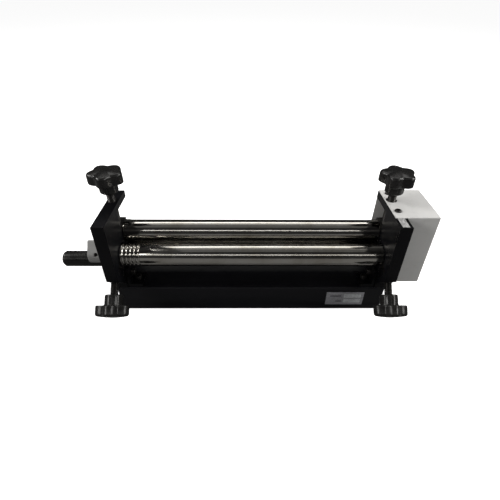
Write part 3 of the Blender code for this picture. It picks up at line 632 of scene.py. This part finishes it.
def adjusters():
    """Four adjusters: a threaded screw with a star knob on each."""
    for side, _ in SIDES:
        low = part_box(f"{side}_top_knob")[0]
        axis = joint_axis(f"{side}_top_knob_turn")
        base = Vector((axis.x, axis.y, 0))
        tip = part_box(f"{side}_top_screw")[0].z
        star_knob(f"{side}_top", base + AXIS_Z * low.z, AXIS_Z, f"{side}_top_adjuster")
        threaded_screw(f"{side}_top", base, AXIS_Z, tip, low.z + SCREW_IN_KNOB, f"{side}_top_adjuster")
        axis = joint_axis(f"{side}_lower_knob_turn")
        end = LOWER_KNOB_START + SCREW_IN_KNOB
        star_knob(f"{side}_lower", axis - SLOPE * LOWER_KNOB_START, -SLOPE, f"{side}_lower_adjuster")
        threaded_screw(f"{side}_lower", axis, -SLOPE, LOWER_SCREW_TIP, end, f"{side}_lower_adjuster")


def crank_grip():
    """The crank's turned handle, with a rounded end and a recess for its screw's head."""
    low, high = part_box("crank_grip")
    axis = joint_axis("crank_handle_spin")
    radius = (high.z - low.z) / 2
    length = high.x - low.x
    recess, recess_radius, bore = 5 * MM, 6.8 * MM, 4.3 * MM
    outline = [
        (0, bore),
        (0, radius - 1.4 * MM),
        (1.6 * MM, radius - 0.5 * MM),
        (6 * MM, radius),
        (length - 3 * MM, radius),
        (length, radius - 2.4 * MM),
        (length, recess_radius),
        (length - recess, recess_radius),
        (length - recess, bore),
    ]
    radii = {1: 0.8 * MM, 2: 0.8 * MM, 3: 6 * MM, 4: 3 * MM, 5: 0.6 * MM, 6: 0.4 * MM}
    bm = bmesh.new()
    turned(bm, rounded(outline, radii, 6), (high.x, axis.y, axis.z), -AXIS_X, 96, closed=True)
    add_piece("crank_grip_moulding", bm, PLASTIC, "crank_handle", "black_plastic", "crank_grip")


def box_between(bm, low, high):
    """A box between two corners."""
    low, high = Vector(low), Vector(high)
    size = Matrix.Diagonal((*(high - low), 1))
    bmesh.ops.create_cube(bm, size=1, matrix=Matrix.Translation((low + high) / 2) @ size)


# Blank areas of the base's label, as shares of its width and height: left, right, bottom and top.
LABEL_FIELDS = {"upper": (0.47, 0.93, 0.54, 0.86), "lower": (0.47, 0.93, 0.16, 0.44)}
LABEL_ROWS = ((0.1, 0.4, 0.66), (0.26, 0.42, 0.24))
LABEL_ROW_HEIGHT = 0.09


def base_label():
    """Generic blank fields and rows on the base's label: no lettering."""
    low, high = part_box("base_label")
    skin = 0.05 * MM
    width, height = high.x - low.x, high.z - low.z

    def field(name, material, left, right, bottom, top):
        bm = bmesh.new()
        start = (low.x + width * left, low.y - skin, low.z + height * bottom)
        end = (low.x + width * right, low.y + skin, low.z + height * top)
        box_between(bm, start, end)
        add_piece(name, bm, material, "frame", "label_film")

    for place, area in LABEL_FIELDS.items():
        field(f"label_field_{place}", FIELD, *area)
    for number, (left, right, bottom) in enumerate(LABEL_ROWS, start=1):
        field(f"label_row_{number}", PRINT, left, right, bottom, bottom + LABEL_ROW_HEIGHT)


def carried_over():
    """CAD pieces that keep their shape get rounded edges and their finish."""
    paint(ENAMEL, *both("{}_frame"), *both("{}_foot_bracket"))
    paint(TUBE_ENAMEL, "base_tube")
    paint(SATIN, *both("{}_base_plug"))
    paint(POWDER, "gear_cover")
    paint(CRANK_GREY, "crank_arm")
    paint(OXIDE, *both("{}_frame_bolt"), *both("{}_base_bolt"))
    paint(OXIDE, *both("{}_upper_block"), *both("{}_bending_block"))
    paint(OXIDE, "cover_screw_1", "cover_screw_2", "crank_grub_screw", "upper_gear_screw", "lower_gear_screw")
    paint(OXIDE, "left_upper_collar", "left_bending_collar")
    paint(BRONZE, *both("{}_lower_bush"), *both("{}_upper_bush"))
    paint(ZINC, "upper_gear", "lower_gear", "upper_gear_key", "lower_gear_key", "crank_spindle")
    paint(ZINC, "upper_gear_washer", "lower_gear_washer", *both("{}_upper_pin"), *both("{}_bending_pin"))
    paint(FOIL, "base_label")
    # The bright patch on the right frame's top front: a mottled silver sheet.
    paint(SILVER, "frame_label")
    for name in both("{}_frame"):
        soften(nodes[name], 0.7 * MM)
    for name in both("{}_foot_bracket"):
        soften(nodes[name], 0.5 * MM)
    soften(nodes["crank_arm"], 0.9 * MM)
    for name in [*both("{}_upper_block"), *both("{}_bending_block")]:
        soften(nodes[name], 0.3 * MM, 2)
    for name in ("upper_gear", "lower_gear", *both("{}_base_plug")):
        soften(nodes[name], 0.2 * MM, 2)


# ---------------------------------------------------------------- studio

FLOOR_HALF = 60
FLOOR_GAP = 0.2 * MM
FLOOR_GLOW = 0.93
FLOOR_IN_REFLECTIONS = 0.17
BACKDROP_GLOW = 0.94
ROOM_LIGHT = 0.03
AIM_HEIGHT = 0.09

# Softboxes on the middle plane: degrees round from the front, distance, width, depth, radiance.
STRIPS = {
    "overhead": (122, 1.2, 1.5, 0.34, 2.6),
    "overhead_glow": (103, 1.2, 1.5, 0.42, 0.42),
    "overhead_fade": (78, 1.2, 1.5, 0.6, 0.12),
    "front_strip": (33, 1.6, 3, 0.12, 2.4),
}
# Softboxes in pairs: degrees round from the front, distance, how far aside, width, depth, radiance.
FILLS = {
    "top_fill": (95, 1.3, 1.7, 0.7, 0.9, 14),
    "front_fill": (40, 1.2, 1.6, 0.6, 0.5, 11),
}


def floor_material():
    """Pale paper to the eye; the mirror-bright rollers see it dimmer, as a floor outside the lights."""
    material = bpy.data.materials.new("pale_floor")
    material.use_nodes = True
    tree = material.node_tree
    pale = tree.nodes["Principled BSDF"]
    pale.inputs["Base Color"].default_value = (0.8, 0.8, 0.8, 1)
    pale.inputs["Roughness"].default_value = 0.95
    pale.inputs["Emission Color"].default_value = (1, 1, 1, 1)
    pale.inputs["Emission Strength"].default_value = FLOOR_GLOW
    dim = tree.nodes.new("ShaderNodeBsdfDiffuse")
    dim.inputs["Color"].default_value = (*[FLOOR_IN_REFLECTIONS] * 3, 1)
    path = tree.nodes.new("ShaderNodeLightPath")
    mix = tree.nodes.new("ShaderNodeMixShader")
    tree.links.new(path.outputs["Is Camera Ray"], mix.inputs["Fac"])
    tree.links.new(dim.outputs["BSDF"], mix.inputs[1])
    tree.links.new(pale.outputs["BSDF"], mix.inputs[2])
    tree.links.new(mix.outputs["Shader"], tree.nodes["Material Output"].inputs["Surface"])
    return material


def make_floor():
    """A wide pale floor under the machine."""
    mesh = bpy.data.meshes.new("floor")
    bm = bmesh.new()
    bmesh.ops.create_grid(bm, x_segments=1, y_segments=1, size=FLOOR_HALF)
    bm.to_mesh(mesh)
    bm.free()
    mesh.materials.append(floor_material())
    floor = bpy.data.objects.new("floor", mesh)
    floor.location.z = cad_box[0].z - FLOOR_GAP
    scene.collection.objects.link(floor)


def softbox(name, place, width, depth, radiance):
    """A rectangular area light aimed at the machine, its width along X."""
    data = bpy.data.lights.new(name, "AREA")
    data.shape = "RECTANGLE"
    data.size = width
    data.size_y = depth
    data.energy = radiance * math.pi * width * depth
    data.color = (1, 0.985, 0.96)
    light = bpy.data.objects.new(name, data)
    scene.collection.objects.link(light)
    aim = (Vector((0, 0, AIM_HEIGHT)) - Vector(place)).normalized()
    light.matrix_world = Matrix.Translation(place) @ aim.to_track_quat("-Z", "Y").to_matrix().to_4x4()


def around(angle, distance, x=0):
    """A place round the machine: degrees up from the front horizon, over the top, to the back."""
    turn = math.radians(angle)
    return x, -distance * math.cos(turn), AIM_HEIGHT + distance * math.sin(turn)


def make_world():
    """A pale backdrop to the eye that lights the machine only faintly."""
    world = bpy.data.worlds.new("studio")
    world.use_nodes = True
    tree = world.node_tree
    faint = tree.nodes["Background"]
    faint.inputs["Color"].default_value = (1, 1, 1, 1)
    faint.inputs["Strength"].default_value = ROOM_LIGHT
    pale = tree.nodes.new("ShaderNodeBackground")
    pale.inputs["Color"].default_value = (1, 1, 1, 1)
    pale.inputs["Strength"].default_value = BACKDROP_GLOW
    path = tree.nodes.new("ShaderNodeLightPath")
    mix = tree.nodes.new("ShaderNodeMixShader")
    tree.links.new(path.outputs["Is Camera Ray"], mix.inputs["Fac"])
    tree.links.new(faint.outputs["Background"], mix.inputs[1])
    tree.links.new(pale.outputs["Background"], mix.inputs[2])
    tree.links.new(mix.outputs["Shader"], tree.nodes["World Output"].inputs["Surface"])
    scene.world = world


def make_studio():
    """Long soft lights that draw bands along the rollers, in a dim room."""
    scene.view_settings.view_transform = "Standard"
    for name, (angle, distance, *light) in STRIPS.items():
        softbox(name, around(angle, distance), *light)
    for side, sign in SIDES:
        for name, (angle, distance, aside, *light) in FILLS.items():
            softbox(f"{side}_{name}", around(angle, distance, sign * aside), *light)


make_camera()
carried_over()
roller("upper_roller", "upper_roller_turn", "upper_roller_set")
roller("lower_roller", "crank_turn", "drive")
roller("bending_roller", "bending_roller_turn", "bending_roller_set", wire_grooves())
adjusters()
crank_grip()
base_label()
make_floor()
make_world()
make_studio()
